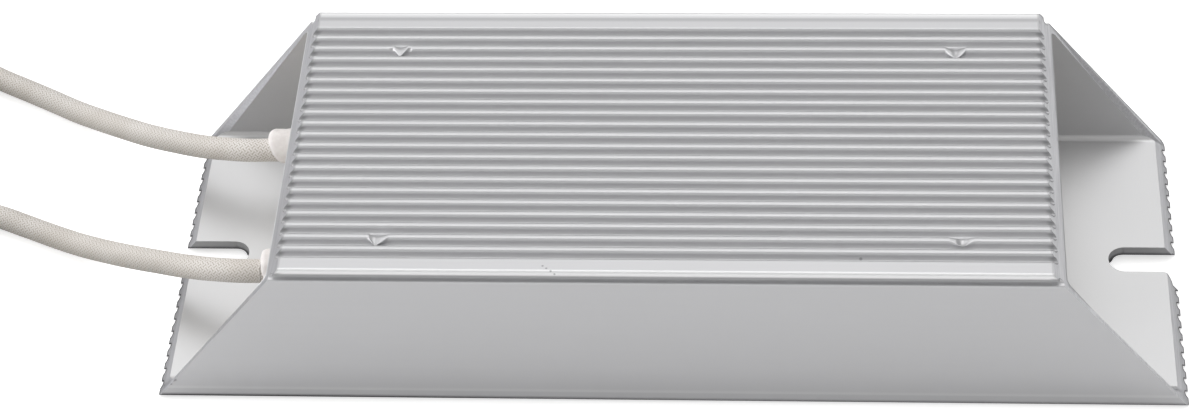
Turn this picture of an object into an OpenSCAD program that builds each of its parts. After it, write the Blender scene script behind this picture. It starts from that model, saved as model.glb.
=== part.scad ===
// Aluminium-housed wirewound power resistor with two insulated leads.
// A finned rectangular tube, mitred at both ends, holds two wound ceramic cores that are joined in series
// and cast in cement. Both leads leave at the -X end and finish in a small tied coil.
// The origin is the centre of the mounting face. X runs along the housing, Y across it and Z up.
// The rear core and lead are on the +Y side, the front ones on the -Y side.

/* [Housing] */
// Length of the housing at its mounting face
length = 165; // [150:1:200]
// Width of the housing
width = 60; // [58:0.5:72]
// Height of the housing
height = 30; // [27:0.5:40]
// Length of the finned top face, between the two mitre cuts
top_length = 119.4; // [100:0.1:130]
// Thickness of the two side walls
side_wall = 1.5; // [1:0.1:2.2]
// Thickness of the base plate
base_wall = 2.5; // [2:0.1:3.2]
// Thickness of the top wall, up to the fin tips
top_wall = 3; // [2.2:0.1:4]
// Radius of the fillets along the inside corners
inner_fillet = 2; // [1:0.1:3]
// Radius along the bottom outside edges
base_round = 0.9; // [0.3:0.1:1.4]
// Radius along the two shoulders of the top face
shoulder_round = 1.1; // [0.4:0.1:1.2]

/* [Top fins] */
// Distance from one groove to the next
groove_pitch = 2.55; // [2.35:0.01:2.6]
// How far the row of top grooves sits forward of the middle
groove_offset = 0.6; // [0:0.1:0.8]
// Number of grooves in the top face
groove_count = 21; // [11:2:21]
// Width of a groove's channel
groove_w = 1.2; // [0.8:0.05:1.4]
// Depth of a groove
groove_depth = 1.15; // [0.8:0.05:1.5]
// Radius along the edges of the fins
fin_round = 0.55; // [0.2:0.05:0.6]

/* [Side line] */
// Height of the fine groove along each side face, just under the shoulder
line_w = 1.1; // [0.5:0.05:1.2]
// Depth of that groove
line_depth = 1; // [0.6:0.05:1.2]
// Distance from the top face down to the middle of the groove
line_drop = 1.75; // [1.7:0.05:2.1]
// Radius along the groove's lower edge
line_round = 0.4; // [0.1:0.05:0.6]

/* [Underside grooves] */
// Distance from one underside groove to the next
base_pitch = 2.73; // [2.4:0.01:2.8]
// Number of grooves in the mounting face
base_count = 21; // [11:2:21]
// Radius of the half-round grooves in the mounting face
base_groove_r = 0.7; // [0.3:0.05:0.9]

/* [Mounting slots] */
// Width of the open slot in each end of the base plate
slot_w = 5.5; // [4:0.1:7]
// Distance between the centres of the two slots' round ends
slot_spacing = 148; // [136:0.5:150]
// Radius of the corner that is worn round at the mouth of the right-hand slot
slot_corner = 1.8; // [0.8:0.1:2.5]

/* [Locking dents] */
// Width of each of the four punched dents at the top face
dent_d = 3.4; // [2:0.1:4.5]
// Depth of the dents
dent_depth = 1.5; // [0.8:0.1:1.9]
// Distance between the two dents of a row, along the housing
dent_spacing = 91; // [60:1:96]
// Distance of the rear row of dents from the middle
dent_rear = 19.7; // [12:0.1:24]
// Distance of the front row of dents from the middle
dent_front = 23.1; // [12:0.1:24]

/* [Insulation and filling] */
// Thickness of the mica sheets that line the cavity
liner_t = 0.5; // [0.3:0.1:0.7]
// Thickness of the boards that close both ends
board_t = 1.5; // [1:0.1:2.5]
// Distance of the end boards inside the ends of the top face
board_setback = 1.2; // [0.5:0.1:4]
// Gap between the end boards and the cavity walls
board_gap = 0.25; // [0.1:0.05:0.4]

/* [Cores] */
// Diameter of the ceramic cores
core_d = 15; // [12:0.1:15.5]
// Diameter of the hole through each core
core_bore = 6; // [3:0.1:8]
// Distance between the axes of the two cores and of the two leads
core_spacing = 28; // [24:0.1:29]
// Height of the core axes and of the lead exits above the mounting face
core_height = 13; // [12.4:0.1:14]
// Wall thickness of the metal end caps
cap_wall = 0.6; // [0.3:0.05:0.7]
// Length of an end cap's skirt over the core
cap_skirt = 5; // [3:0.1:8]
// Wall thickness of the mica sleeves around the windings
sleeve_wall = 0.5; // [0.3:0.05:0.6]
// Thickness of the strap that joins the two cores
strap_t = 1; // [0.6:0.1:1.5]
// Width of the strap
strap_w = 6; // [4.5:0.1:9]

/* [Winding] */
// Diameter of the resistance wire
wire_d = 0.5; // [0.3:0.05:0.6]
// Number of turns on each core
turns = 35; // [12:1:40]

/* [Leads] */
// Diameter of the leads over their braid
lead_d = 4; // [3:0.1:4.4]
// Diameter of the stranded conductor
conductor_d = 2; // [1.4:0.1:2.2]
// Outer diameter of the exit bushes
bush_d = 6.4; // [6:0.1:9]
// Reach of the rear bush beyond the end board
bush_reach_rear = 9.5; // [5:0.1:12]
// Reach of the front bush beyond the end board
bush_reach_front = 7.5; // [5:0.1:12]
// Length of the crimps between the leads and the caps
crimp_l = 8.5; // [6:0.1:9]
// Length of the ferrules on the free ends
ferrule_l = 10; // [6:0.1:11]

/* [Hidden] */
$fn = 48;
fit = 0.05;            // gap all round a piece that is pressed or slid over another
cap_disc = 1;          // thickness of an end cap's closed end
stud_d = 2;            // axial stud on each end cap
stud_l = 4.5;
barrel_wall = 1;       // wall of a crimp
lead_room = 15;        // from the left board to the cores: room for the crimps
link_room = 7;         // from the right board to the cores: room for the strap
wire_steps = 12;       // straight pieces in one turn of the winding
spigot_step = 0.6;     // the bush's spigot is this much smaller all round than its body
bush_round = 1.2;      // rounding of the bush's free end
pin_bore_gap = 0.05;   // between the ferrule and the strands inside it

cavity_y = width / 2 - side_wall;                 // inner face of the side walls
cavity_top = height - top_wall;                   // inner face of the top wall
mitre = (length - top_length) / 2 / height;       // how far the cut runs inwards for each mm of height
board_x = top_length / 2 - board_setback;         // outer face of the end boards
fill_x = board_x - board_t;                       // end of the filling and inner face of the boards
liner_w = 2 * (cavity_y - inner_fillet) - 2 * fit;
liner_h = cavity_top - base_wall - 2 * inner_fillet - 2 * fit;
core_y = core_spacing / 2;
core_left = lead_room - fill_x;
core_right = fill_x - link_room;
cap_r = core_d / 2 + fit + cap_wall;
wire_r = wire_d / 2;
// the wire lies on the core with the middles of its straight pieces
coil_wire_r = (core_d / 2 + fit) / cos(180 / wire_steps) + wire_r;
sleeve_r = max(coil_wire_r + wire_r, cap_r) + fit;
crimp_r = conductor_d / 2 + fit + barrel_wall;
crimp_start = core_left - cap_disc - fit;         // the crimp runs from here towards -X
crimp_end = crimp_start - crimp_l;
conductor_start = core_left - cap_disc - stud_l - 0.5;
bush_in_r = lead_d / 2 + 0.1;
spigot_r = bush_d / 2 - spigot_step;
pipe_r = lead_d / 2;

// x of a bush's free end, where its lead comes out; side is 1 for the rear and -1 for the front
function bush_mouth(side) = -board_x - (side > 0 ? bush_reach_rear : bush_reach_front);

// The coils of spare lead: two turns side by side, wound anticlockwise from where the lead comes in.
coil_mean_r = 20;
coil_sweep = 300;      // the solid leaves a gap where the lead steps inwards
rear_coil = [-150, 36.5];
rear_start = 58;
front_coil = [-138, -11.5];
front_start = 90;
outer_turn_r = coil_mean_r + lead_d / 2;
inner_turn_r = coil_mean_r - lead_d / 2;
tail_r = 9;            // the free end curls into the coil on this radius
tail_sweep = 75;
tie_t = 0.5;
tie_w = 2.6;
tie_gap = 0.1;
tie_angle = 150;       // place of the tie round the coil, from where the lead comes in
coil_z = tie_t + tie_gap + pipe_r;

// a coil's point where the lead comes in
function coil_entry(centre, start) =
    [centre[0] + outer_turn_r * cos(start), centre[1] + outer_turn_r * sin(start), coil_z];

// The free stretches of the two leads, from the bush to the coil, in mm.
rear_route = concat(
    [[bush_mouth(1), core_y, core_height]],
    [
        [-72, 14, 12.9], [-77, 15.1, 12.2], [-81, 16.8, 11.1], [-86, 19.7, 9.4], [-91, 23, 7.5],
        [-96, 26.7, 5.6], [-101, 30.4, 3.9], [-106, 33.9, 2.6], [-111, 37.1, 2.1], [-116, 39.9, 2],
        [-121, 42.6, 2], [-126, 45.8, 2], [-131, 49.6, 2.1], [-135, 52.8, 2.4]
    ],
    [coil_entry(rear_coil, rear_start)]
);
front_route = concat(
    [[bush_mouth(-1), -core_y, core_height]],
    [
        [-70, -13.8, 12.8], [-75, -12.7, 12], [-80, -10.6, 10.5], [-85, -7.9, 8.7], [-90, -5, 6.7],
        [-95, -1.9, 4.7], [-100, 1.1, 3.1], [-105, 3.9, 2.2], [-110, 6.3, 2], [-115, 8.5, 2],
        [-120, 10, 2], [-125, 10.5, 2], [-131, 10.5, 2.2]
    ],
    [coil_entry(front_coil, front_start)]
);

// ---- housing ----

// a rectangle centred on the Y axis, from z0 to z1, with round corners
module rounded_band(half_w, z0, z1, r) {
    translate([-half_w + r, z0]) square([2 * (half_w - r), z1 - z0]);
    translate([-half_w, z0 + r]) square([2 * half_w, z1 - z0 - 2 * r]);
    for (y = [-half_w + r, half_w - r], z = [z0 + r, z1 - r])
        translate([y, z]) circle(r);
}

// what is taken off a square corner at the origin to round it
module corner_relief(r, over = 1) {
    difference() {
        translate([-over, -over]) square(r + over);
        translate([r, r]) circle(r);
    }
}

// one top groove: a channel with a round bottom and rounded fin edges
module groove_profile() {
    half = groove_w / 2;
    translate([0, height - groove_depth + half]) circle(half);
    translate([-half, height - groove_depth + half]) square([groove_w, groove_depth]);
    difference() {
        translate([-half - fin_round, height - fin_round]) square([groove_w + 2 * fin_round, 1]);
        for (side = [-1, 1])
            translate([side * (half + fin_round), height - fin_round]) circle(fin_round);
    }
}

// the fine groove in a side face, with a round bottom
module side_line() {
    z = height - line_drop;
    bottom = width / 2 - line_depth + line_w / 2;
    translate([bottom, z]) circle(line_w / 2);
    translate([bottom, z - line_w / 2]) square([line_depth + 1, line_w]);
    translate([width / 2, z - line_w / 2]) rotate([0, 0, 180]) corner_relief(line_round, 0.2);
}

// the extrusion's section, Y across and Z up
module tube_section() {
    difference() {
        translate([-width / 2, 0]) square([width, height]);
        rounded_band(cavity_y, base_wall, cavity_top, inner_fillet);
        for (side = [0, 1]) mirror([side, 0]) {
            translate([-width / 2, 0]) corner_relief(base_round);
            translate([-width / 2, height]) mirror([0, 1]) corner_relief(shoulder_round);
            side_line();
        }
        for (i = [0:groove_count - 1])
            translate([(i - (groove_count - 1) / 2) * groove_pitch - groove_offset, 0]) groove_profile();
        for (i = [0:base_count - 1])
            translate([(i - (base_count - 1) / 2) * base_pitch, 0]) circle(base_groove_r);
    }
}

// everything beyond the mitre cut at the +X end
module beyond_mitre() {
    over = 1;
    far = length / 2 + 20;
    rotate([90, 0, 0])
        linear_extrude(width + 2, center = true)
            polygon([
                [length / 2 + over * mitre, -over], [far, -over], [far, height + over],
                [top_length / 2 - over * mitre, height + over]
            ]);
}

// the open slot at the +X end of the base plate
module mounting_slot() {
    x = slot_spacing / 2;
    translate([x, 0, -1]) cylinder(h = base_wall + 2, d = slot_w);
    translate([x, -slot_w / 2, -1]) cube([length / 2 - x + 1, slot_w, base_wall + 2]);
}

// the worn corner between the slot and the end of the base plate, on the front side
module slot_mouth_corner() {
    x = length / 2 - slot_corner - base_wall * mitre / 2;
    y = -slot_w / 2 - slot_corner;
    difference() {
        translate([x, y, -1]) cube([slot_corner + 3, slot_corner + 0.1, base_wall + 2]);
        translate([x, y, -2]) cylinder(h = base_wall + 4, r = slot_corner);
    }
}

module locking_dents() {
    tip_r = 0.25;
    over = 0.5;
    slope = (dent_d / 2 - tip_r) / dent_depth;
    for (x = [-dent_spacing / 2, dent_spacing / 2], y = [dent_rear, -dent_front])
        translate([x, y, height - dent_depth])
            cylinder(h = dent_depth + over, r1 = tip_r, r2 = dent_d / 2 + slope * over);
}

module housing() {
    color([0.78, 0.78, 0.78]) difference() {
        rotate([90, 0, 90]) linear_extrude(length, center = true) tube_section();
        for (end = [0, 1]) mirror([end, 0, 0]) {
            beyond_mitre();
            mounting_slot();
        }
        slot_mouth_corner();
        locking_dents();
    }
}

// ---- insulation and filling ----

module liner_flat(z) {
    color([0.80, 0.74, 0.60])
        translate([-fill_x, -liner_w / 2, z]) cube([2 * fill_x, liner_w, liner_t]);
}

module liner_upright(y) {
    z = base_wall + inner_fillet + fit;
    color([0.80, 0.74, 0.60])
        translate([-fill_x, y, z]) cube([2 * fill_x, liner_t, liner_h]);
}

module liner_base() { liner_flat(base_wall); }
module liner_top() { liner_flat(cavity_top - liner_t); }
module liner_rear() { liner_upright(cavity_y - liner_t); }
module liner_front() { liner_upright(-cavity_y); }

// a bar along X on a core's axis, from x0 to x1; side is 1 for the rear and -1 for the front
module core_bar(side, x0, x1, r) {
    translate([x0, side * core_y, core_height]) rotate([0, 90, 0]) cylinder(h = x1 - x0, r = r);
}

module cement_fill() {
    sleeve_out = sleeve_r + sleeve_wall + fit;
    strap_left = core_right + cap_disc;
    color([0.83, 0.81, 0.76]) difference() {
        rotate([90, 0, 90])
            linear_extrude(2 * fill_x, center = true)
                rounded_band(
                    cavity_y - liner_t, base_wall + liner_t, cavity_top - liner_t, inner_fillet - liner_t
                );
        for (side = [-1, 1]) {
            core_bar(side, core_left - cap_disc, core_right + cap_disc, sleeve_out);
            core_bar(side, crimp_end - fit, core_left, crimp_r + fit);
            core_bar(side, -fill_x - 1, crimp_end, lead_d / 2 + fit);
            core_bar(side, core_right, strap_left + stud_l + fit, stud_d / 2 + fit);
        }
        translate([
            strap_left - fit, -core_y - strap_w / 2 - fit, core_height - strap_w / 2 - fit
        ])
            cube([strap_t + 2 * fit, core_spacing + strap_w + 2 * fit, strap_w + 2 * fit]);
    }
}

// an end board, from x to x + board_t
module end_board(x) {
    translate([x, 0, 0]) rotate([90, 0, 90])
        linear_extrude(board_t)
            rounded_band(
                cavity_y - board_gap, base_wall + board_gap, cavity_top - board_gap,
                inner_fillet - board_gap
            );
}

module end_board_left() {
    color([0.86, 0.85, 0.80]) difference() {
        end_board(-board_x);
        for (side = [-1, 1]) core_bar(side, -board_x - 1, -fill_x + 1, spigot_r + fit);
    }
}

module end_board_right() {
    color([0.86, 0.85, 0.80]) end_board(fill_x);
}

// ---- wound cores ----

module core(side) {
    color([0.90, 0.88, 0.82]) difference() {
        core_bar(side, core_left, core_right, core_d / 2);
        core_bar(side, core_left - 1, core_right + 1, core_bore / 2);
    }
}

module core_rear() { core(1); }
module core_front() { core(-1); }

// an end cap with its disc's inner face at x = 0, its stud towards +X and its skirt towards -X
module cap_body() {
    inside_r = core_d / 2 + fit;
    rotate([0, 90, 0]) rotate_extrude()
        polygon([
            [0, 0], [inside_r, 0], [inside_r, -cap_skirt], [cap_r, -cap_skirt], [cap_r, cap_disc],
            [stud_d / 2, cap_disc], [stud_d / 2, cap_disc + stud_l], [0, cap_disc + stud_l]
        ]);
}

module cap_lead_end(side) {
    color([0.72, 0.70, 0.64])
        translate([core_left, side * core_y, core_height]) mirror([1, 0, 0]) cap_body();
}

module cap_link_end(side) {
    color([0.72, 0.70, 0.64])
        translate([core_right, side * core_y, core_height]) cap_body();
}

module cap_rear_lead() { cap_lead_end(1); }
module cap_rear_link() { cap_link_end(1); }
module cap_front_lead() { cap_lead_end(-1); }
module cap_front_link() { cap_link_end(-1); }

// the resistance wire, a four-sided wire swept along a helix between the two caps
function helix_point(t, r, x) = [x, r * cos(t), r * sin(t)];

module winding(side) {
    x0 = core_left + cap_skirt + wire_d;
    x1 = core_right - cap_skirt - wire_d;
    steps = turns * wire_steps;
    section = [[wire_r, 0], [0, wire_r], [-wire_r, 0], [0, -wire_r]];
    points = [
        for (i = [0:steps], s = section)
            helix_point(i * 360 / wire_steps, coil_wire_r + s[0], x0 + (x1 - x0) * i / steps + s[1])
    ];
    sides = [
        for (i = [0:steps - 1], k = [0:3])
            [4 * i + k, 4 * i + (k + 1) % 4, 4 * i + 4 + (k + 1) % 4, 4 * i + 4 + k]
    ];
    color([0.45, 0.44, 0.42])
        translate([0, side * core_y, core_height])
            polyhedron(points, concat([[3, 2, 1, 0]], sides, [[for (k = [0:3]) 4 * steps + k]]));
}

module winding_rear() { winding(1); }
module winding_front() { winding(-1); }

module sleeve(side) {
    color([0.80, 0.74, 0.60]) difference() {
        core_bar(side, core_left - cap_disc, core_right + cap_disc, sleeve_r + sleeve_wall);
        core_bar(side, core_left - cap_disc - 1, core_right + cap_disc + 1, sleeve_r);
    }
}

module sleeve_rear() { sleeve(1); }
module sleeve_front() { sleeve(-1); }

// the strap between the two right-hand caps, threaded on their studs
module link_strap() {
    x = core_right + cap_disc;
    color([0.72, 0.70, 0.64]) difference() {
        union() {
            translate([x, -core_y, core_height - strap_w / 2]) cube([strap_t, core_spacing, strap_w]);
            for (side = [-1, 1]) core_bar(side, x, x + strap_t, strap_w / 2);
        }
        for (side = [-1, 1]) core_bar(side, x - 1, x + strap_t + 1, stud_d / 2 + fit);
    }
}

// ---- lead ends inside the housing ----

module crimp(side) {
    color([0.75, 0.75, 0.74]) difference() {
        core_bar(side, crimp_end, crimp_start, crimp_r);
        core_bar(side, crimp_end - 1, crimp_start + 1, conductor_d / 2 + fit);
    }
}

module crimp_rear() { crimp(1); }
module crimp_front() { crimp(-1); }

module conductor(side) {
    color([0.80, 0.50, 0.32]) core_bar(side, bush_mouth(side), conductor_start, conductor_d / 2);
}

module conductor_rear() { conductor(1); }
module conductor_front() { conductor(-1); }

module lead_root(side) {
    color([0.87, 0.85, 0.80]) difference() {
        core_bar(side, bush_mouth(side), crimp_end - fit, lead_d / 2);
        core_bar(side, bush_mouth(side) - 1, crimp_end + 1, conductor_d / 2 + fit);
    }
}

module lead_root_rear() { lead_root(1); }
module lead_root_front() { lead_root(-1); }

// a bush: a spigot in the end board and a body with a rounded free end, drawn along its axis
module bush(side) {
    reach = -board_x - bush_mouth(side);
    body_r = bush_d / 2;
    color([0.88, 0.86, 0.84])
        translate([-board_x, side * core_y, core_height]) rotate([0, -90, 0]) rotate_extrude()
            difference() {
                union() {
                    translate([bush_in_r, -board_t]) square([spigot_r - bush_in_r, board_t + reach]);
                    translate([bush_in_r, 0]) square([body_r - bush_in_r, reach]);
                }
                translate([body_r, reach]) rotate([0, 0, 180]) corner_relief(bush_round);
            }
}

module bush_rear() { bush(1); }
module bush_front() { bush(-1); }

// ---- free stretches of the leads ----

// the direction of a route at point i, from its neighbours
function along(p, i) = let (
    a = p[max(i - 1, 0)], b = p[min(i + 1, len(p) - 1)], d = b - a
) d / norm(d);

// a round tube along a route, with an upright ring at each point; first and last give the end directions
module routed_lead(p, first, last) {
    sides = 8;
    n = len(p);
    points = [
        for (i = [0:n - 1])
            let (
                t = i == 0 ? first : i == n - 1 ? last : along(p, i),
                across = cross([0, 0, 1], t) / norm(cross([0, 0, 1], t)),
                up = cross(t, across)
            )
            for (k = [0:sides - 1])
                p[i] + pipe_r * (cos(360 * k / sides) * across + sin(360 * k / sides) * up)
    ];
    walls = [
        for (i = [0:n - 2], k = [0:sides - 1])
            let (a = sides * i + k, b = sides * i + (k + 1) % sides)
            [a, a + sides, b + sides, b]
    ];
    color([0.87, 0.85, 0.80])
        polyhedron(
            points,
            concat(
                [[for (k = [0:sides - 1]) k]], walls,
                [[for (k = [sides - 1:-1:0]) sides * (n - 1) + k]]
            )
        );
}

module lead_rear() { routed_lead(rear_route, [-1, 0, 0], [-sin(rear_start), cos(rear_start), 0]); }
module lead_front() { routed_lead(front_route, [-1, 0, 0], [-sin(front_start), cos(front_start), 0]); }

// what follows is placed in a coil's own frame: its centre, and X towards where the lead comes in
module at_coil(centre, start) {
    translate([centre[0], centre[1], coil_z]) rotate([0, 0, start]) children();
}

// the outline of two turns side by side, across the coil's ring
module turn_pair() {
    for (r = [inner_turn_r, inner_turn_r + lead_d]) translate([r, 0]) circle(pipe_r);
    translate([inner_turn_r, -pipe_r]) square([lead_d, lead_d]);
}

module wound_turns() {
    color([0.87, 0.85, 0.80]) rotate_extrude(angle = coil_sweep) turn_pair();
}

module coil_rear() { at_coil(rear_coil, rear_start) wound_turns(); }
module coil_front() { at_coil(front_coil, front_start) wound_turns(); }

// moves to the curled end of the lead: the arc's centre, then its free end
module at_tail() {
    rotate([0, 0, coil_sweep]) translate([inner_turn_r - tail_r, 0, 0]) children();
}

module at_tail_end() {
    at_tail() rotate([0, 0, tail_sweep]) translate([tail_r, 0, 0]) rotate([-90, 0, 0]) children();
}

module tail() {
    color([0.87, 0.85, 0.80])
        at_tail() rotate_extrude(angle = tail_sweep) translate([tail_r, 0]) circle(pipe_r);
}

module tail_rear() { at_coil(rear_coil, rear_start) tail(); }
module tail_front() { at_coil(front_coil, front_start) tail(); }

// a flat band round both turns
module coil_tie() {
    inner_w = 2 * lead_d + 2 * tie_gap;
    inner_h = lead_d + 2 * tie_gap;
    color([0.90, 0.90, 0.90])
        rotate([0, 0, tie_angle]) translate([coil_mean_r, 0, 0]) rotate([90, 0, 0])
            linear_extrude(tie_w, center = true)
                difference() {
                    translate([0, -inner_h / 2 - tie_t])
                        rounded_band(inner_w / 2 + tie_t, 0, inner_h + 2 * tie_t, inner_h / 2);
                    translate([0, -inner_h / 2])
                        rounded_band(inner_w / 2, 0, inner_h, inner_h / 2 - tie_t);
                }
}

module coil_tie_rear() { at_coil(rear_coil, rear_start) coil_tie(); }
module coil_tie_front() { at_coil(front_coil, front_start) coil_tie(); }

module wire_end() {
    color([0.80, 0.50, 0.32]) at_tail_end() cylinder(h = ferrule_l + 0.6, d = conductor_d);
}

module wire_end_rear() { at_coil(rear_coil, rear_start) wire_end(); }
module wire_end_front() { at_coil(front_coil, front_start) wire_end(); }

// a tinned ferrule with a flared mouth against the end of the braid
module ferrule() {
    in_r = conductor_d / 2 + pin_bore_gap;
    out_r = in_r + 0.35;
    flare_r = lead_d / 2 - 0.1;
    color([0.80, 0.80, 0.79])
        at_tail_end() rotate_extrude()
            polygon([
                [in_r, 0], [flare_r, 0], [flare_r, 0.4], [out_r, 1.8], [out_r, ferrule_l], [in_r, ferrule_l]
            ]);
}

module ferrule_rear() { at_coil(rear_coil, rear_start) ferrule(); }
module ferrule_front() { at_coil(front_coil, front_start) ferrule(); }

housing();
liner_base();
liner_top();
liner_rear();
liner_front();
cement_fill();
end_board_left();
end_board_right();
core_rear();
core_front();
winding_rear();
winding_front();
sleeve_rear();
sleeve_front();
cap_rear_lead();
cap_rear_link();
cap_front_lead();
cap_front_link();
link_strap();
crimp_rear();
crimp_front();
conductor_rear();
conductor_front();
lead_root_rear();
lead_root_front();
bush_rear();
bush_front();
lead_rear();
lead_front();
coil_rear();
coil_front();
tail_rear();
tail_front();
coil_tie_rear();
coil_tie_front();
wire_end_rear();
wire_end_front();
ferrule_rear();
ferrule_front();
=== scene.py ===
"""An aluminium-housed power resistor: a finned, mitred tube with two braided leads at its left.

Lengths in this file are in millimetres, and MM turns them into the frame's metres.
"""
import math

import bmesh
import bpy
from mathutils import Matrix, Quaternion, Vector, noise


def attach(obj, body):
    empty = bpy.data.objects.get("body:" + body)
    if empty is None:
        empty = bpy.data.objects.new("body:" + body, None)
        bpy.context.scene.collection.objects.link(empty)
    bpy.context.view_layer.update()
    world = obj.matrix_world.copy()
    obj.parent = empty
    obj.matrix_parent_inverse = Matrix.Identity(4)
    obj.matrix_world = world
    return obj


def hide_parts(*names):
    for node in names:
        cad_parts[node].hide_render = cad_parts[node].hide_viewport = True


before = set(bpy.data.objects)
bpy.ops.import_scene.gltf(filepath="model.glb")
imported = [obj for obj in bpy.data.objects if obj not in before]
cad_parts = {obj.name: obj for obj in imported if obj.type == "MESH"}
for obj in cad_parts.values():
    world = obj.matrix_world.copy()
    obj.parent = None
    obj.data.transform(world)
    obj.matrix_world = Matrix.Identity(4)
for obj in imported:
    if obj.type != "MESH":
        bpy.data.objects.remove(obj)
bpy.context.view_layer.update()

MM = 0.001

# ---- camera ----

CAMERA_AT = (25.93, -376.31, 395.60)
CAMERA_AIM = (-11.77, -1.56, 15.0)
# In degrees
CAMERA_ROLL = -3.748
CAMERA_LENS = 98.58
CAMERA_SENSOR = 36
# Nearest and farthest, in metres
CAMERA_CLIP = (0.02, 20)


def place_camera():
    """A long lens above and in front of the part, rolled a little."""
    data = bpy.data.cameras.new("camera")
    camera = bpy.data.objects.new("camera", data)
    bpy.context.scene.collection.objects.link(camera)
    data.sensor_width = CAMERA_SENSOR
    data.lens = CAMERA_LENS
    data.clip_start, data.clip_end = CAMERA_CLIP
    look = Vector(CAMERA_AIM) - Vector(CAMERA_AT)
    turn = look.to_track_quat("-Z", "Y") @ Quaternion((0, 0, 1), math.radians(CAMERA_ROLL))
    camera.matrix_world = Matrix.LocRotScale(Vector(CAMERA_AT) * MM, turn, None)
    bpy.context.scene.camera = camera


place_camera()

# ---- finishes ----


class Wire:
    """A value in a node tree. Arithmetic on it adds Math nodes."""

    def __init__(self, nodes, socket):
        self.nodes = nodes
        self.socket = socket

    def output(self, name):
        """Another output of the same node, by its name or its number."""
        return Wire(self.nodes, self.socket.node.outputs[name])

    def _math(self, operation, first, second=0.0):
        return self.nodes.node("Math", {"operation": operation}, {0: first, 1: second})

    def __add__(self, other):
        return self._math("ADD", self, other)

    def __radd__(self, other):
        return self._math("ADD", other, self)

    def __sub__(self, other):
        return self._math("SUBTRACT", self, other)

    def __rsub__(self, other):
        return self._math("SUBTRACT", other, self)

    def __mul__(self, other):
        return self._math("MULTIPLY", self, other)

    def __rmul__(self, other):
        return self._math("MULTIPLY", other, self)

    def __pow__(self, other):
        return self._math("POWER", self, other)

    def __abs__(self):
        return self._math("ABSOLUTE", self)

    def sine(self):
        return self._math("SINE", self)

    def cosine(self):
        return self._math("COSINE", self)

    def larger(self, other):
        """This value or the other one, whichever is larger."""
        return self._math("MAXIMUM", self, other)


class Nodes:
    """A node tree. node() adds any node and returns its first output."""

    def __init__(self, tree):
        self.tree = tree

    def node(self, kind, settings=None, sockets=None):
        """Adds a node with its settings, and with a value or a wire for each socket named."""
        made = self.tree.nodes.new("ShaderNode" + kind)
        for name, value in (settings or {}).items():
            setattr(made, name, value)
        for name, value in (sockets or {}).items():
            self.feed(made.inputs[name], value)
        return Wire(self, made.outputs[0])

    def feed(self, socket, value):
        """Joins a wire to a socket, or sets the socket's own value."""
        if isinstance(value, Wire):
            self.tree.links.new(value.socket, socket)
        else:
            socket.default_value = value


class Finish(Nodes):
    """A material whose nodes feed its main shader."""

    def __init__(self, name):
        self.material = bpy.data.materials.new(name)
        self.material.use_nodes = True
        super().__init__(self.material.node_tree)
        self.shader = self.tree.nodes["Principled BSDF"]

    def surface(self, **values):
        """Sets the shader's own sockets: base_color=..., roughness=..., and so on."""
        for name, value in values.items():
            self.feed(self.shader.inputs[name.replace("_", " ").title()], value)
        return self.material

    def place(self):
        """Where a point is in the part's frame, in metres."""
        return self.node("TexCoord").output("Object")

    def spot(self):
        """The same place as three numbers in millimetres: along, to the rear and up."""
        at = self.node("SeparateXYZ", None, {0: self.place()})
        return at * (1 / MM), at.output("Y") * (1 / MM), at.output("Z") * (1 / MM)

    def grain(self, scale, detail=2.0, stretch=(1, 1, 1), roughness=0.5):
        """Noise from 0 to 1 with scale cells to the metre, longer along a small stretch."""
        at = self.node(
            "Mapping", {"vector_type": "POINT"}, {"Vector": self.place(), "Scale": stretch}
        )
        sockets = {"Vector": at, "Scale": scale, "Detail": detail, "Roughness": roughness}
        return self.node("TexNoise", None, sockets)

    def ease(self, value, low, high, to_low=0.0, to_high=1.0):
        """Goes smoothly from to_low to to_high while value goes from low to high."""
        return self.node("MapRange", {"interpolation_type": "SMOOTHSTEP"}, {
            "Value": value, "From Min": low, "From Max": high, "To Min": to_low, "To Max": to_high
        })

    def fade(self, value, low, high, most=1.0):
        """Goes smoothly from most to nothing while value goes from low to high."""
        return self.ease(value, low, high, most, 0.0)

    def blend(self, amount, first, second):
        """The first colour at an amount of 0, the second at 1."""
        return self.node(
            "Mix",
            {"data_type": "RGBA", "clamp_factor": True},
            {0: amount, 6: colour(first), 7: colour(second)},
        ).output(2)

    def bump(self, height, strength, distance):
        """A normal for the shader, with distance in millimetres."""
        return self.node(
            "Bump", None, {"Height": height, "Strength": strength, "Distance": distance * MM}
        )


def colour(value):
    """A colour for a socket: three numbers, or a wire as it is."""
    return value if isinstance(value, Wire) else (*value, 1.0)


# The braid: strands each way round, and how far along one goes in a turn
STRANDS = 12
STRAND_PITCH = 10.8
# Where round the lead its side with painted shade lies, as a share of a turn
LOWER_SIDE = 0.125

ALUMINIUM = (0.60, 0.60, 0.61)
ALUMINIUM_DARK = (0.30, 0.30, 0.31)
# Painted highlight for the shoulders
SHOULDER_HIGHLIGHT = (0.84, 0.84, 0.845)
# Painted light on the top of the base plate
FOOT_TOP_LIT = (0.66, 0.66, 0.665)
SAWN_DARK = (0.62, 0.62, 0.64)
SAWN_LIGHT = (0.78, 0.78, 0.80)
SAWN_SHADE = (0.10, 0.10, 0.12)
SHADE_AND_NICK_DARK = (0.03, 0.03, 0.035)
BRAID = (0.675, 0.64, 0.61)
BRAID_PALE = (0.76, 0.735, 0.715)
BRAID_GAP_SHADE = (0.42, 0.375, 0.32)
LEAD_UNDERSIDE_SHADE = (0.04, 0.03, 0.0)

# The housing: its top, half its length there, the way its right-hand cut faces, and how far a
# cut runs out for each millimetre down
TOP_Z = 30.0
TOP_HALF = 59.7
MITRE = (0.796, 0.0, 0.605)
MITRE_RUN = 0.76
# The slots' own space: beyond this along, within this of the middle, and below this
SLOT_FACES = (71.2, 2.8, 2.4)

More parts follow.
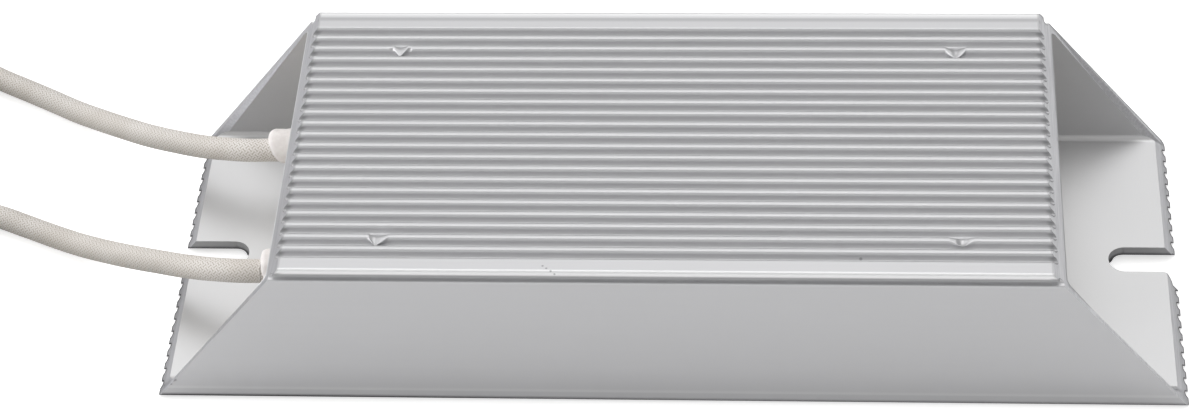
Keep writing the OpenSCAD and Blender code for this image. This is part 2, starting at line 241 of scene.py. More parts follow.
# Small worn spots: where, and how wide
NICKS = (
    (38.6, -6.0, 30.0, 0.45), (30.4, -25.7, 29.0, 0.35), (-18.5, -28.6, 30.0, 0.25),
    (-17.9, -29.1, 30.0, 0.25), (-17.2, -29.6, 29.9, 0.25), (-16.6, -30.0, 29.6, 0.25),
    (-79.4, -29.8, 4.0, 0.35), (-80.0, -30.0, 3.3, 0.35), (-79.2, -30.0, 4.3, 0.45),
)


def bead_blasted_aluminium():
    """Satin extruded aluminium, with saw lines on the cut end faces, painted shade in the slots,
    the grooves and along its foot, and painted highlights on its shoulders.
    """
    f = Finish("bead blasted aluminium")
    streaks = f.grain(900, 3, (0.03, 1, 1))
    cloud = f.grain(45, 3)
    blasted = f.grain(6500, 2)
    saw_lines = f.grain(2600, 2, (1, 0.05, 1))
    along, rear, high = f.spot()
    front = rear * -1.0

    # sawn is 1 on the slant cuts and 0 elsewhere; to_cut is the distance past a cut's plane
    normal = f.node("NewGeometry").output("Normal")
    facing = f.node("VectorMath", {"operation": "ABSOLUTE"}, {0: normal})
    mitre = f.node("VectorMath", {"operation": "DOT_PRODUCT"}, {0: facing, 1: MITRE})
    sawn = f.ease(mitre.output("Value"), 0.985, 0.995)
    to_cut = abs(along) + MITRE_RUN * (high - TOP_Z) - TOP_HALF

    # painted shade in the slots, darkest low down, and a painted contact shadow along the foot,
    # darkest at the left
    slot_x, slot_y, slot_z = SLOT_FACES
    in_slot = (
        f.ease(abs(along), slot_x, slot_x + 0.05)
        * f.fade(abs(rear), slot_y, slot_y + 0.02)
        * f.fade(high, slot_z, slot_z + 0.06)
    )
    slot_shade = in_slot * f.ease(high, 0.7, 1.5, 0.88, 0.36)
    under = f.fade(high, 0.5, 1.5) * (1 - 0.8 * sawn) * f.ease(along, -60, 20, 0.97, 0.60)

    # both shoulders get a painted highlight, with a line of painted shade beside each, and the
    # outer walls are painted darker towards their feet, as shade
    shoulder_highlight = f.ease(front, 29.35, 29.6) * f.ease(high, 29.15, 29.45)
    shoulder_highlight = shoulder_highlight + f.ease(rear, 28.2, 29.4) * f.ease(high, 28.9, 29.3)
    # painted shade in the side line below the front shoulder
    side_line_shade = f.ease(front, 29.5, 29.9) * f.ease(high, 28.7, 28.8) * f.fade(high, 29.0, 29.3, 0.40)
    # painted shade on the top's land beside the rear shoulder
    dull = f.ease(rear, 27.2, 27.9) * f.fade(rear, 28.1, 28.5, 0.22) * f.ease(high, 29.4, 29.6)
    # the outer walls painted darker towards the floor, as shade
    wall_foot_shade = f.ease(abs(rear), 29.8, 29.95) * f.fade(high, 1.5, 9.0, 0.08)

    # painted shade in the ends of the grooves, more at their roots
    grooved = (1 - sawn) * f.ease(high, 28.7, 28.8)
    ends = grooved * f.ease(to_cut, -0.40, -0.10, 0.0, 0.22)
    groove_root_shade = grooved * f.ease(to_cut, -1.5, -0.5, 0.0, 0.38) * f.fade(high, 29.2, 29.6)

    # the metal beneath the painted shade: the extrusion, the tops of its feet painted lighter as
    # light, the shoulders' painted highlight, and the cuts, the left ones painted in shade
    plate = f.ease(high, 2.2, 2.45) * f.fade(high, 2.6, 3.2)
    body = f.blend(0.94 + 0.05 * streaks + 0.06 * cloud, ALUMINIUM_DARK, ALUMINIUM)
    body = f.blend(plate, body, FOOT_TOP_LIT)
    body = f.blend(shoulder_highlight, body, SHOULDER_HIGHLIGHT)
    cut = f.blend(f.ease(saw_lines, 0.2, 0.8), SAWN_DARK, SAWN_LIGHT)
    cut = f.blend(0.5 * f.fade(along, -60, -40), cut, SAWN_SHADE)
    clean = f.blend(sawn, body, cut)

    # all of the painted shade above, and the real worn nicks, darken towards one dark tone
    shade_and_nicks = slot_shade
    for more in (under, side_line_shade, dull, wall_foot_shade, ends, groove_root_shade):
        shade_and_nicks = shade_and_nicks.larger(more)
    for *nick, radius in NICKS:
        sockets = {0: f.place(), 1: Vector(nick) * MM}
        away = f.node("VectorMath", {"operation": "DISTANCE"}, sockets).output("Value")
        shade_and_nicks = shade_and_nicks.larger(f.fade(away, 0.4 * radius * MM, radius * MM, 0.45))
    return f.surface(
        base_color=f.blend(shade_and_nicks, clean, SHADE_AND_NICK_DARK),
        metallic=0.9,
        roughness=f.ease(blasted + 0.4 * cloud, 0.3, 1.1, 0.48, 0.56) - 0.08 * sawn,
        normal=f.bump(blasted * (1 - sawn) + saw_lines * sawn, 0.25, 0.03),
    )


def glass_braid():
    """Glass-fibre braid over silicone: strands that cross and dip under each other in turn."""
    f = Finish("glass fibre braid")
    laid = f.node("Attribute", {"attribute_name": "laid"}).output("Vector")
    turn = f.node("SeparateXYZ", None, {0: laid})
    round_it = turn * (math.pi * STRANDS)
    along_it = turn.output("Y") * (math.pi * STRANDS / STRAND_PITCH)
    left = round_it + along_it
    right = round_it - along_it
    # the same weave as the mesh has in weave(), with broader strands
    over = 0.5 + 0.5 * left.cosine() * right.cosine()
    first = abs(left.sine()) ** 0.6 * over
    second = abs(right.sine()) ** 0.6 * (1 - over)
    high = first.larger(second)

    soil = f.grain(160, 3)
    fibres = f.grain(5200, 2)
    strand = f.blend(f.ease(soil, 0.3, 0.7), BRAID, BRAID_PALE)
    raised = f.ease(high + 0.2 * (fibres - 0.5), 0.30, 0.62)
    # the gaps between strands painted darker, as shade in the weave
    woven = f.blend(raised, BRAID_GAP_SHADE, strand)
    # the lower front side of the leads away from the housing, painted darker as shade
    lower = 0.5 + 0.5 * (math.tau * (turn + LOWER_SIDE)).cosine()
    away = f.fade(f.spot()[0], -86, -71)
    return f.surface(
        base_color=f.blend(0.46 * lower * away, woven, LEAD_UNDERSIDE_SHADE),
        roughness=0.75,
        sheen_weight=0.1,
        normal=f.bump(high + 0.4 * fibres, 0.5, 0.08),
    )


def matte(name, low, high, cells, roughness, lumps=0.2):
    """A matte mineral or plastic surface whose colour wanders between two tones."""
    f = Finish(name)
    spots = f.grain(cells, 4, roughness=0.6)
    fine = f.grain(cells * 9, 2)
    return f.surface(
        base_color=f.blend(f.ease(spots, 0.25, 0.75), low, high),
        roughness=f.ease(fine, 0.2, 0.8, roughness - 0.06, roughness + 0.06),
        normal=f.bump(fine + spots, lumps, 0.05),
    )


def drawn_metal(name, low, high, roughness):
    """Drawn or plated metal with fine lines and a little tarnish."""
    f = Finish(name)
    lines = f.grain(4000, 2, (0.1, 1, 1))
    tarnish = f.grain(300, 3)
    return f.surface(
        base_color=f.blend(f.ease(tarnish, 0.3, 0.75), low, high),
        metallic=1.0,
        roughness=f.ease(lines, 0.2, 0.8, roughness - 0.08, roughness + 0.08),
        normal=f.bump(lines, 0.15, 0.02),
    )


HOUSING_METAL = bead_blasted_aluminium()
LEAD_BRAID = glass_braid()
BUSH = matte("white silicone", (0.72, 0.68, 0.67), (0.84, 0.81, 0.80), 700, 0.55, 0.3)
BOARD = matte("fibre cement board", (0.60, 0.57, 0.50), (0.76, 0.73, 0.66), 1400, 0.85, 0.5)
CEMENT = matte("casting cement", (0.56, 0.54, 0.49), (0.72, 0.70, 0.64), 900, 0.9, 0.6)
MICA = matte("mica paper", (0.50, 0.44, 0.32), (0.70, 0.64, 0.50), 500, 0.5, 0.2)
STEATITE = matte("unglazed steatite", (0.80, 0.77, 0.70), (0.88, 0.86, 0.80), 400, 0.7)
NYLON = matte("natural nylon", (0.78, 0.77, 0.73), (0.86, 0.85, 0.82), 300, 0.38, 0.1)
RESISTANCE_WIRE = drawn_metal(
    "oxidised nickel chrome", (0.20, 0.19, 0.18), (0.36, 0.34, 0.31), 0.45
)
PLATED = drawn_metal("dull nickel plate", (0.50, 0.48, 0.43), (0.66, 0.64, 0.59), 0.38)
TINNED = drawn_metal("tinned copper", (0.58, 0.58, 0.57), (0.74, 0.74, 0.73), 0.32)
COPPER = drawn_metal("bare copper strands", (0.52, 0.25, 0.14), (0.72, 0.40, 0.24), 0.35)

# ---- meshes ----

# Points round a lead or a bush, and the turns they stand at
SIDES = 40
TURNS = [math.tau * k / SIDES for k in range(SIDES)]


def piece(name, points, faces, finish):
    """A new smooth mesh from points in millimetres, riding on the part."""
    mesh = bpy.data.meshes.new(name)
    mesh.from_pydata([Vector(p) * MM for p in points], [], faces)
    mesh.update()
    made = bpy.data.objects.new(name, mesh)
    bpy.context.scene.collection.objects.link(made)
    mesh.materials.append(finish)
    mesh.polygons.foreach_set("use_smooth", [True] * len(mesh.polygons))
    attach(made, "root")
    return made


def ring_faces(rings):
    """Quads between rings of points that follow each other."""
    faces = []
    for ring in range(rings - 1):
        this, after = ring * SIDES, (ring + 1) * SIDES
        for k in range(SIDES):
            beside = (k + 1) % SIDES
            faces.append((this + k, after + k, after + beside, this + beside))
    return faces


def tube_faces(rings):
    """The faces of a tube given as outer rings from end to end and then inner rings back."""
    faces = ring_faces(rings)
    last = (rings - 1) * SIDES
    faces += [(last + k, k, (k + 1) % SIDES, last + (k + 1) % SIDES) for k in range(SIDES)]
    return [tuple(reversed(face)) for face in faces]


def eased(share):
    """A share from 0 to 1 that starts and stops gently."""
    return share * share * (3 - 2 * share)


def spaced(points, step):
    """The same line with points one step apart, or as near to it as fills the length."""
    points = [Vector(p) for p in points]
    lengths = [(b - a).length for a, b in zip(points, points[1:])]
    total = sum(lengths)
    count = max(2, round(total / step))
    made, at, done = [], 0, 0.0
    for n in range(count + 1):
        want = total * n / count
        while at < len(lengths) - 1 and done + lengths[at] < want:
            done += lengths[at]
            at += 1
        made.append(points[at].lerp(points[at + 1], min(1.0, (want - done) / lengths[at])))
    return made


def smooth_line(points):
    """A Catmull-Rom line through the points."""
    per_gap = 8
    points = [Vector(p) for p in points]
    ends = [2 * points[0] - points[1], *points, 2 * points[-1] - points[-2]]
    made = []
    for a, b, c, d in zip(ends, ends[1:], ends[2:], ends[3:]):
        for k in range(per_gap):
            t = k / per_gap
            made.append(
                0.5 * (2 * b + (c - a) * t + (2 * a - 5 * b + 4 * c - d) * t ** 2
                       + (3 * b - a - 3 * c + d) * t ** 3)
            )
    made.append(points[-1])
    return made


def swept(line, section):
    """Points of a tube along line; section(turn, at) gives the radius at a turn from 0 to 1."""
    points = []
    at = 0.0
    for n, centre in enumerate(line):
        ahead = line[min(n + 1, len(line) - 1)] - line[max(n - 1, 0)]
        along = ahead.normalized()
        across = Vector((0, 0, 1)).cross(along).normalized()
        up = along.cross(across)
        if n:
            at += (centre - line[n - 1]).length
        for k in range(SIDES):
            turn = k / SIDES
            out = math.cos(math.tau * turn) * across + math.sin(math.tau * turn) * up
            points.append(centre + section(turn, at) * out)
    return points


# ---- leads ----

LEAD_D = 4.0
LEAD_STEP = 0.3
# How far the gaps lie below the strands, and how far and how often the lead is pressed thinner
STRAND_RELIEF = 0.09
UNEVEN = 0.04
UNEVEN_RUN = 6

COIL_MEAN_R = 20.0
COIL_Z = 2.6
# In degrees: how far round the lead starts inwards, the tail's bend, and a step of either
COIL_SWEEP = 300
TAIL_SWEEP = 75
COIL_STEP = 5
TAIL_R = 9.0
CORE_Y = 14.0
EXIT_Z = 13.0

# Each lead: its bush's mouth, its way to its coil, and the coil's middle and starting angle
REAR_MOUTH_X = -68.0
REAR_ROUTE = [
    (REAR_MOUTH_X, CORE_Y, EXIT_Z), (-72, 14, 12.9), (-77, 15.1, 12.2), (-81, 16.8, 11.1),
    (-86, 19.7, 9.4), (-91, 23, 7.5), (-96, 26.7, 5.6), (-101, 30.4, 3.9), (-106, 33.9, 2.6),
    (-111, 37.1, 2.1), (-116, 39.9, 2), (-121, 42.6, 2), (-126, 45.8, 2), (-131, 49.6, 2.1),
    (-135, 52.8, 2.4),
]
REAR_COIL = (-150.0, 36.5, 58)
FRONT_MOUTH_X = -66.0
FRONT_ROUTE = [
    (FRONT_MOUTH_X, -CORE_Y, EXIT_Z), (-70, -13.8, 12.8), (-75, -12.7, 12), (-80, -10.6, 10.5),
    (-85, -7.9, 8.7), (-90, -5, 6.7), (-95, -1.9, 4.7), (-100, 1.1, 3.1), (-105, 3.9, 2.2),
    (-110, 6.3, 2), (-115, 8.5, 2), (-120, 10, 2), (-125, 10.5, 2), (-131, 10.5, 2.2),
]
FRONT_COIL = (-138.0, -11.5, 90)


def coil_line(coil):
    """Two turns side by side from where the lead comes in, then the curled free end."""
    x, y, start = coil
    outer = COIL_MEAN_R + LEAD_D / 2
    inner = COIL_MEAN_R - LEAD_D / 2

    def at(radius, degrees, aside=(0.0, 0.0)):
        a = math.radians(start + degrees)
        return Vector((
            x + aside[0] + radius * math.cos(a), y + aside[1] + radius * math.sin(a), COIL_Z
        ))

    made = []
    for degrees in range(0, 360 + COIL_SWEEP, COIL_STEP):
        share = min(1.0, max(0.0, (degrees - COIL_SWEEP) / (360 - COIL_SWEEP)))
        made.append(at(outer + (inner - outer) * eased(share), degrees))
    turn = math.radians(start + COIL_SWEEP)
    middle = ((inner - TAIL_R) * math.cos(turn), (inner - TAIL_R) * math.sin(turn))
    for degrees in range(0, TAIL_SWEEP + 1, COIL_STEP):
        made.append(at(TAIL_R, COIL_SWEEP + degrees, middle))
    return made


def weave(turn, at):
    """How high the braid stands, from 0 in its gaps to 1 on a strand that lies on top."""
    left = STRANDS * (turn + at / STRAND_PITCH)
    right = STRANDS * (turn - at / STRAND_PITCH)
    over = 0.5 + 0.5 * math.cos(math.pi * left) * math.cos(math.pi * right)
    round_left = math.sqrt(abs(math.sin(math.pi * left)))
    round_right = math.sqrt(abs(math.sin(math.pi * right)))
    return max(round_left * over, round_right * (1 - over))


def braid_radius(start):
    """The radius of a lead whose first ring lies start along from the bush's mouth."""

    def radius(turn, at):
        place = ((at + start) / UNEVEN_RUN, math.cos(math.tau * turn), math.sin(math.tau * turn))
        uneven = min(0.0, UNEVEN * noise.noise(Vector(place)))
        return LEAD_D / 2 - STRAND_RELIEF * (1 - weave(turn, at + start)) + uneven

    return radius


def lay_braid(made, line, start):
    """Tells the finish how far round and along the lead each corner of each face lies."""
    along = [start]
    for first, second in zip(line, line[1:]):
        along.append(along[-1] + (second - first).length)
    values = []
    for face in made.data.polygons:
        turns = [index % SIDES for index in face.vertices]
        seam = 0 in turns and SIDES - 1 in turns
        for index, turn in zip(face.vertices, turns):
            ring = min(index // SIDES, len(line) - 1)
            values += [1.0 if seam and turn == 0 else turn / SIDES, along[ring], 0.0]
    laid = made.data.attributes.new("laid", "FLOAT_VECTOR", "CORNER")
    laid.data.foreach_set("vector", values)


def braided_lead(name, route, coil, nodes):
    """One lead from its bush's mouth to its free end, with its middle line and its length."""
    coiled = coil_line(coil)
    line = spaced(smooth_line(route + coiled[:1]) + coiled[1:], LEAD_STEP)
    points = swept(line, braid_radius(0.0))
    faces = ring_faces(len(line))
    faces.append(tuple(range(SIDES - 1, -1, -1)))
    faces.append(tuple(range(SIDES * (len(line) - 1), SIDES * len(line))))
    lead = piece(name, points, [tuple(reversed(face)) for face in faces], LEAD_BRAID)
    lay_braid(lead, line, 0.0)
    length = sum((b - a).length for a, b in zip(line, line[1:]))
    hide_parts(*nodes)
    return lead, line, length


def free_leads():
    """Both braided leads, in place of the solid's leads, coils and tails."""
    for side, route, coil in (("rear", REAR_ROUTE, REAR_COIL), ("front", FRONT_ROUTE, FRONT_COIL)):
        lead, line, length = braided_lead(
            "braided_lead_" + side, route, coil, ["lead_" + side, "coil_" + side, "tail_" + side]
        )
        [p * MM for p in line[::4]] + [line[-1] * MM]


free_leads()

# The end of the root at the crimp, its bore, and the angle in degrees above which it is sharp
ROOT_X = -51.6
ROOT_BORE_R = 1.05
ROOT_SHARP = 50


def lead_roots():
    """The braid that runs on through the bush to the crimp, hollow where the strands were taken."""
    for side, y, mouth in (("rear", CORE_Y, REAR_MOUTH_X), ("front", -CORE_Y, FRONT_MOUTH_X)):
        line = spaced([(ROOT_X, y, EXIT_Z), (mouth, y, EXIT_Z)], LEAD_STEP)
        points = swept(line, braid_radius(mouth - ROOT_X))
        bore = [line[-1], line[0]]
        for centre in bore:
            for turn in TURNS:
                points.append(centre + ROOT_BORE_R * Vector((0, -math.cos(turn), math.sin(turn))))
        faces = tube_faces(len(line) + len(bore))
        root = piece("braided_root_" + side, points, faces, LEAD_BRAID)
        lay_braid(root, line, mouth - ROOT_X)
        root.data.set_sharp_from_angle(angle=math.radians(ROOT_SHARP))
        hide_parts("lead_root_" + side)


lead_roots()

# From inside out: the inner end, the board's face, and where the collar is full beside it
BUSH_INNER_X = -57.0
BOARD_X = -58.5
COLLAR_X = BOARD_X - 0.4
SPIGOT_R = 2.6
COLLAR_R = 3.15
COLLAR_STEPS = 14
BUSH_BORE_R = 2.03
LEAST_WALL = 0.07
# In degrees
BUSH_SHARP = 55

# Its lumps, coarse and fine: their run along, how close they stand round it, and their height
LUMPS = ((1.7, 2.2, 0.16), (0.6, 5, 0.05))

# How far behind the mouth its rounded edge starts, then places and narrowings on that edge
MOUTH_ROUND = 0.9
MOUTH_EDGE = ((0.6, 0.04), (0.35, 0.14), (0.14, 0.32), (0.03, 0.52), (0.0, 0.70))

# Each hand-poured bush: its side, middle, mouth above and below, radius, how far it sits high
BUSHES = (
    ("rear", CORE_Y, -68.15, -65.9, 2.98, 0.85),
    ("front", -CORE_Y, -65.9, -64.9, 3.02, 0.9),
)


def collar_rings(middle, radius, lift):
    """A collar's outside from board to mouth: place, radius, lift and share of the slant."""
    # through the board, then a fillet against its face
    rings = [
        (BUSH_INNER_X, SPIGOT_R, 0, 0), (BOARD_X + 0.02, SPIGOT_R, 0, 0), (BOARD_X, 2.75, 0, 0),
        (BOARD_X - 0.15, 3.05, 0.05, 0), (COLLAR_X, COLLAR_R, 0.15, 0),
    ]
    for n in range(1, COLLAR_STEPS + 1):
        share = n / COLLAR_STEPS
        x = COLLAR_X + (middle + MOUTH_ROUND - COLLAR_X) * share
        r = COLLAR_R + (radius - COLLAR_R) * eased(share)
        rings.append((x, r, lift * min(1.0, 1.6 * share), share))
    for back, narrow in MOUTH_EDGE:
        rings.append((middle + back, radius - narrow, lift * (1 - 0.25 * narrow), 1))
    return rings


def poured(x, y, turn, radius, lift):
    """How far across and up the lumpy outside of a collar lies from the middle of its bore."""
    across, up = math.cos(turn), math.sin(turn)
    lump = 0.0
    if x < BOARD_X:
        for run, size, height in LUMPS:
            lump += height * noise.noise(Vector((x / run, size * across + y, size * up)))
    out_y = (radius + lump) * across
    out_z = (radius + lump) * up + lift
    grow = max(1.0, (BUSH_BORE_R + LEAST_WALL) / math.hypot(out_y, out_z))
    return out_y * grow, out_z * grow


def bushes():
    """Lumpy silicone collars round the leads where they leave the end board."""
    for side, y, mouth_top, mouth_low, radius, lift in BUSHES:
        middle = (mouth_top + mouth_low) / 2
        slant = (mouth_low - mouth_top) / 2
        outside = collar_rings(middle, radius, lift)
        points = []
        for x, r, up, lean in outside:
            for turn in TURNS:
                out_y, out_z = poured(x, y, turn, r, up)
                points.append((x - lean * slant * math.sin(turn), y - out_y, EXIT_Z + out_z))
        bore = ((middle + 0.05, 1), (middle + 3, 0), (BUSH_INNER_X, 0))
        for x, lean in bore:
            for turn in TURNS:
                points.append((
                    x - lean * slant * math.sin(turn),
                    y - BUSH_BORE_R * math.cos(turn),
                    EXIT_Z + BUSH_BORE_R * math.sin(turn),
                ))
        faces = tube_faces(len(outside) + len(bore))
        collar = piece("silicone_bush_" + side, points, faces, BUSH)
        collar.data.set_sharp_from_angle(angle=math.radians(BUSH_SHARP))
        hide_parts("bush_" + side)


bushes()

# ---- housing ----

# How far the sawn edges are eased
EDGE = 0.12
# In degrees: faces this near to level with each other are one, and edges above this are sharp
FLAT = 0.5
HOUSING_SHARP = 28
# Corners farther along than this are on the cut ends, whose faces look this nearly along MITRE
ENDS_FROM = 55.0
CUT_FACING = 0.9995
# Points this close are one, in metres
WELD = 1e-6

# Corners that are worn or drawn tighter than the solid: middle across and up, radius, new radius
CORNERS = ((28.9, 28.9, 1.1, 0.7), (26.5, 4.5, 2.0, 0.9), (26.5, 25.0, 2.0, 0.9))


def tighten_corners(shape):
    """Redraws the long corner rounds at a smaller radius, keeping them in the end faces' planes."""
    for across, up, radius, tighter in CORNERS:
        outward_up = 1 if up > TOP_Z / 2 else -1
        for vertex in shape.verts:
            side = 1 if vertex.co.y > 0 else -1
            dy = abs(vertex.co.y) / MM - across
            dz = (vertex.co.z / MM - up) * outward_up
            # only the points on this round move
            if dy < -0.02 or dz < -0.02 or abs(math.hypot(dy, dz) - radius) > 0.03:
                continue
            turn = math.atan2(dz, dy)
            grown = radius - tighter
            new_y = across + grown + tighter * math.cos(turn)
            new_z = up + outward_up * (grown + tighter * math.sin(turn))
            shift = new_z - vertex.co.z / MM
            vertex.co.y = side * new_y * MM
            vertex.co.z = new_z * MM
            if abs(vertex.co.x) > ENDS_FROM * MM:
                vertex.co.x -= math.copysign(shift * MITRE_RUN * MM, vertex.co.x)


GROOVE_PITCH = 2.55
GROOVE_OFFSET = 0.6
GROOVE_DEPTH = 1.15
GROOVE_HALF = 0.6
FIN_ROUND = 0.55
# Everything above this belongs to the finned top
GROOVES_FROM_Z = 28.3

# The grid laid round a mark: half its length, its step, and what counts as the same place
PATCH_HALF = 4.2
PATCH_STEP = 0.15
NEAR = 1e-3

# How much of the punch's push a point gets, by how many grooves it lies behind the middle one
DRIVEN = ((-0.05, 0), (0.0, 0), (0.3, 1), (0.5, 1), (0.8, 0.25), (1.05, 0), (9, 0))
# How far metal sinks for each share of the push it gets
SINK = 0.3

# Each punched mark: its middle, the groove it lies over, half widths to the left and right,
# how far the fin is driven over, whether it is pointed, and its pits (right, back, radius, depth)
DENTS = (
    (-45.0, -9, 1.3, 2.0, 1.65, True, ((1.7, 0.35, 0.7, 0.35), (-0.3, 1.4, 0.9, 0.25))),
    (45.95, -9, 1.9, 1.9, 0.55, False, ((0.1, 1.45, 1.1, 0.45),)),
    (-45.3, 8, 1.15, 1.15, 1.70, True, ((1.5, 0.75, 0.5, 0.40), (-1.4, 0.8, 0.4, 0.25))),
    (45.9, 8, 1.7, 1.7, 1.55, False, ((0.0, 1.7, 0.8, 0.20),)),
)


def between(value, stops):
    """Straight-line interpolation in a table of (place, value)."""
    for (a, first), (b, second) in zip(stops, stops[1:]):
        if value <= b:
            return first + (second - first) * max(0.0, value - a) / (b - a)
    return stops[-1][1]


def punched(x, y, z, dent):
    """Where a point of the finned top goes when the punch drives the fin forwards."""
    middle, groove, left, right, reach, pointed, pits = dent
    back = y - (groove * GROOVE_PITCH - GROOVE_OFFSET)
    aside = x - middle
    share = min(1.0, abs(aside) / (right if aside > 0 else left))
    # a blunted tent, or else a dome
    push = 1 - math.sqrt(share ** 2 + 0.01) if pointed else (1 - share ** 2) ** 1.2
    push = max(0.0, push) * between(back / GROOVE_PITCH, DRIVEN)
    # all of it at the fins' tops and nothing at the grooves' roots
    high = max(0.0, 1 - (TOP_Z - z) / GROOVE_DEPTH)
    push *= high ** 0.7
    sink = SINK * push
    for pit_right, pit_back, radius, depth in pits:
        away = math.hypot(aside - pit_right, back - pit_back) / radius
        if away < 1:
            sink += depth * (1 - away ** 2) ** 2 * high
    return x, y - reach * push, z - sink


def fin_profile():
    """Across three grooves: places forward and back, and heights."""
    quarter = [math.pi / 2 * n / 8 for n in range(9)]
    below = [math.pi * (1 + n / 20) for n in range(1, 20)]

    def fin_edge(middle, side, turn):
        return (
            middle + side * GROOVE_HALF + side * FIN_ROUND * (1 - math.cos(turn)),
            TOP_Z - FIN_ROUND * (1 - math.sin(turn)),
        )

    def root(middle, turn):
        return (
            middle + GROOVE_HALF * math.cos(turn),
            TOP_Z - GROOVE_DEPTH + GROOVE_HALF * (1 + math.sin(turn)),
        )

    made = []
    for middle in (-GROOVE_PITCH, 0.0, GROOVE_PITCH):
        made += [fin_edge(middle, -1, turn) for turn in reversed(quarter)]
        made += [root(middle, turn) for turn in below]
        made += [fin_edge(middle, 1, turn) for turn in quarter]
    return made


def zip_up(shape, left, right):
    """A strip of triangles between two lines of vertices that run the same way."""
    a = b = 0
    while a < len(left) - 1 or b < len(right) - 1:
        if b == len(right) - 1 or (a < len(left) - 1 and left[a + 1].co.y <= right[b + 1].co.y):
            shape.faces.new((left[a], right[b], left[a + 1]))
            a += 1
        else:
            shape.faces.new((left[a], right[b], right[b + 1]))
            b += 1


def punch(shape, dent):
    """Swaps the plain top round a dent for a fine grid that follows the driven metal."""
    middle = PATCH_STEP * round(dent[0] / PATCH_STEP)
    groove_y = dent[1] * GROOVE_PITCH - GROOVE_OFFSET
    low = Vector((middle - PATCH_HALF, groove_y - 1.5 * GROOVE_PITCH, GROOVES_FROM_Z))
    top = Vector((middle + PATCH_HALF, groove_y + 1.5 * GROOVE_PITCH, TOP_Z + 1))

    def overlaps(corners, n):
        places = [corner[n] for corner in corners]
        return max(places) > low[n] + NEAR and min(places) < top[n] - NEAR

    def inside():
        found = []
        for face in shape.faces:
            corners = [vertex.co / MM for vertex in face.verts]
            if overlaps(corners, 0) and overlaps(corners, 1) and min(c.z for c in corners) > low.z:
                found.append(face)
        return found

    def rim(x):
        found = [
            v for v in shape.verts
            if abs(v.co.x / MM - x) < NEAR and low.y - NEAR < v.co.y / MM < top.y + NEAR
            and v.co.z / MM > low.z and v.is_boundary
        ]
        return sorted(found, key=lambda v: v.co.y)

    for across in (Vector((1, 0, 0)), Vector((0, 1, 0))):
        for corner in (low, top):
            faces = inside()
            edges = {edge for face in faces for edge in face.edges}
            vertices = {vertex for face in faces for vertex in face.verts}
            bmesh.ops.bisect_plane(
                shape,
                geom=[*faces, *edges, *vertices],
                dist=1e-7,
                plane_co=across * corner.dot(across) * MM,
                plane_no=across,
            )
    bmesh.ops.delete(shape, geom=inside(), context="FACES")

    first, last = rim(low.x), rim(top.x)
    count = round((top.x - low.x) / PATCH_STEP)
    profile = fin_profile()
    columns = []
    for n in range(1, count):
        x = low.x + (top.x - low.x) * n / count
        columns.append([
            shape.verts.new(Vector(punched(x, y + groove_y, z, dent)) * MM) for y, z in profile
        ])
    for a, b in zip(columns, columns[1:]):
        for row in range(len(a) - 1):
            shape.faces.new((a[row], b[row], b[row + 1], a[row + 1]))
    zip_up(shape, first, columns[0])
    zip_up(shape, columns[-1], last)
    shape.faces.new([first[0], last[0]] + [column[0] for column in reversed(columns)])
    shape.faces.new([column[-1] for column in columns] + [last[-1], first[-1]])


def housing_body():
    """The housing with its sawn edges eased, so that they catch the light, and its top punched."""
    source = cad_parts["housing"]
    shape = bmesh.new()
    shape.from_mesh(source.data)
    bmesh.ops.remove_doubles(shape, verts=shape.verts, dist=WELD)
    bmesh.ops.dissolve_limit(
        shape, angle_limit=math.radians(FLAT), verts=shape.verts, edges=shape.edges
    )
    tighten_corners(shape)
    for side in (-1, 1):
        out = Vector((side * MITRE[0], 0, MITRE[2]))
        cut = [face for face in shape.faces if face.normal.dot(out) > CUT_FACING]
        rim = {vertex for face in cut for vertex in face.verts}
        bmesh.ops.inset_region(
            shape, faces=cut, thickness=EDGE * MM, use_even_offset=True, use_boundary=True
        )
        for vertex in rim:
            vertex.co.x -= side * EDGE * MM
    for dent in DENTS:
        punch(shape, dent)
    # where a patch's rim crosses an edge that was nearly on it
    bmesh.ops.remove_doubles(shape, verts=shape.verts, dist=2 * WELD)
    mesh = bpy.data.meshes.new("housing_body")
    shape.to_mesh(mesh)
    shape.free()
    body = bpy.data.objects.new("housing_body", mesh)
    bpy.context.scene.collection.objects.link(body)
    mesh.materials.append(HOUSING_METAL)
    mesh.polygons.foreach_set("use_smooth", [True] * len(mesh.polygons))
    mesh.set_sharp_from_angle(angle=math.radians(HOUSING_SHARP))
    weighted = body.modifiers.new("weighted", "WEIGHTED_NORMAL")
    weighted.keep_sharp = True
    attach(body, "root")
    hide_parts("housing")


housing_body()

# ---- pieces that keep their own shape ----

# What each of them wears, by the start of its name
KEPT = {
    "liner_": MICA, "sleeve_": MICA, "cement_": CEMENT, "end_board_": BOARD, "core_": STEATITE,
    "winding_": RESISTANCE_WIRE, "cap_": PLATED, "link_": PLATED, "crimp_": TINNED,
    "ferrule_": TINNED, "conductor_": COPPER, "wire_end_": COPPER, "coil_tie_": NYLON,
}

for name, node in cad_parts.items():
    for start, finish in KEPT.items():
        if name.startswith(start):
            node.data.materials.clear()
            node.data.materials.append(finish)

# ---- floor and light ----

FLOOR_HALF = 3000.0
FLOOR_CORNERS = ((-1, -1), (1, -1), (1, 1), (-1, 1))
# Just below the part, so that the two don't share a plane
FLOOR_Z = -0.2
FLOOR_GLOW = 0.6
# The share of that glow which metal shows
REFLECTED = 0.1


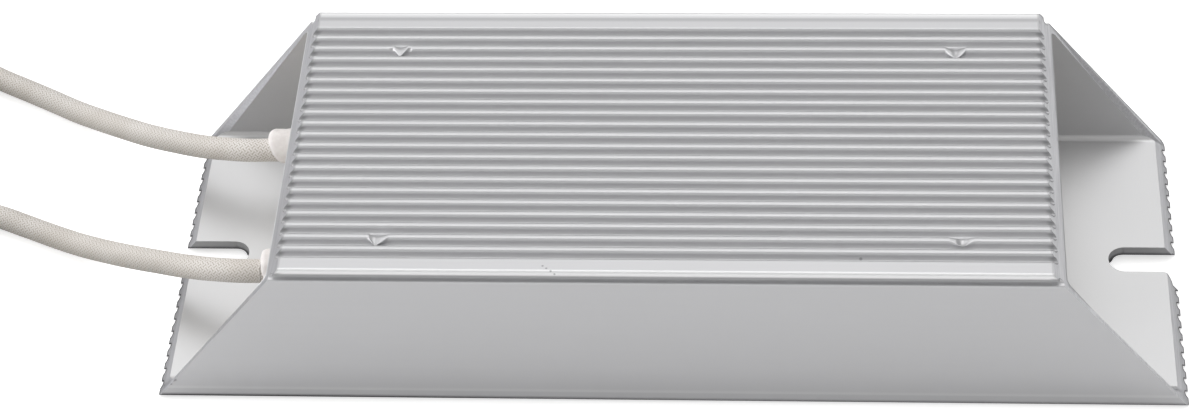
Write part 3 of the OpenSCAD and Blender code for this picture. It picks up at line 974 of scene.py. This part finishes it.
def floor():
    """A pale floor that stays white to the eye and in reflections but keeps the part's shadow."""
    mesh = bpy.data.meshes.new("floor")
    corners = [(x * FLOOR_HALF * MM, y * FLOOR_HALF * MM, 0) for x, y in FLOOR_CORNERS]
    mesh.from_pydata(corners, [], [(0, 1, 2, 3)])
    made = bpy.data.objects.new("floor", mesh)
    made.location.z = FLOOR_Z * MM
    bpy.context.scene.collection.objects.link(made)
    f = Finish("pale floor")
    f.surface(base_color=(0.80, 0.80, 0.80, 1), roughness=0.9)
    plain = Wire(f, f.shader.outputs[0])
    glow = f.node("Emission", None, {"Color": (1, 1, 1, 1), "Strength": FLOOR_GLOW})
    glowing = f.node("AddShader", None, {0: plain, 1: glow})
    rays = f.node("LightPath")
    seen = rays.output("Is Camera Ray") + REFLECTED * rays.output("Is Glossy Ray")
    seen = seen.larger(rays.output("Is Transmission Ray"))
    both = f.node("MixShader", None, {0: seen, 1: plain, 2: glowing})
    f.feed(f.tree.nodes["Material Output"].inputs["Surface"], both)
    mesh.materials.append(f.material)


# Each soft box: its angle round from the right, how high it hangs, how tight it is, how strong
SOFT_BOXES = (
    (90, 65, 8, 2.3),
    (90, 75, 20, 0.6),
    (270, 35, 8, 0.3),
    (270, 10, 8, 1.4),
    (180, 20, 8, 4.7),
    (0, 20, 8, 0.35),
    (0, 50, 8, 0.85),
)


def sky():
    """White to the eye; for light and reflections it is dark but for a few soft boxes."""
    world = bpy.data.worlds.new("sky")
    bpy.context.scene.world = world
    world.use_nodes = True
    w = Nodes(world.node_tree)
    towards = w.node("TexCoord").output("Generated")
    level = 0.0
    for bearing, height, tight, strength in SOFT_BOXES:
        a, up = math.radians(bearing), math.radians(height)
        box = (math.cos(up) * math.cos(a), math.cos(up) * math.sin(a), math.sin(up))
        facing = w.node("VectorMath", {"operation": "DOT_PRODUCT"}, {0: towards, 1: box})
        level = level + strength * facing.output("Value").larger(0.0) ** tight
    to_eye = w.node("LightPath").output("Is Camera Ray")
    background = w.tree.nodes["Background"]
    w.feed(background.inputs["Color"], (1, 1, 1, 1))
    w.feed(background.inputs["Strength"], level * (1 - to_eye) + to_eye)


floor()
sky()
bpy.context.scene.view_settings.view_transform = "Standard"
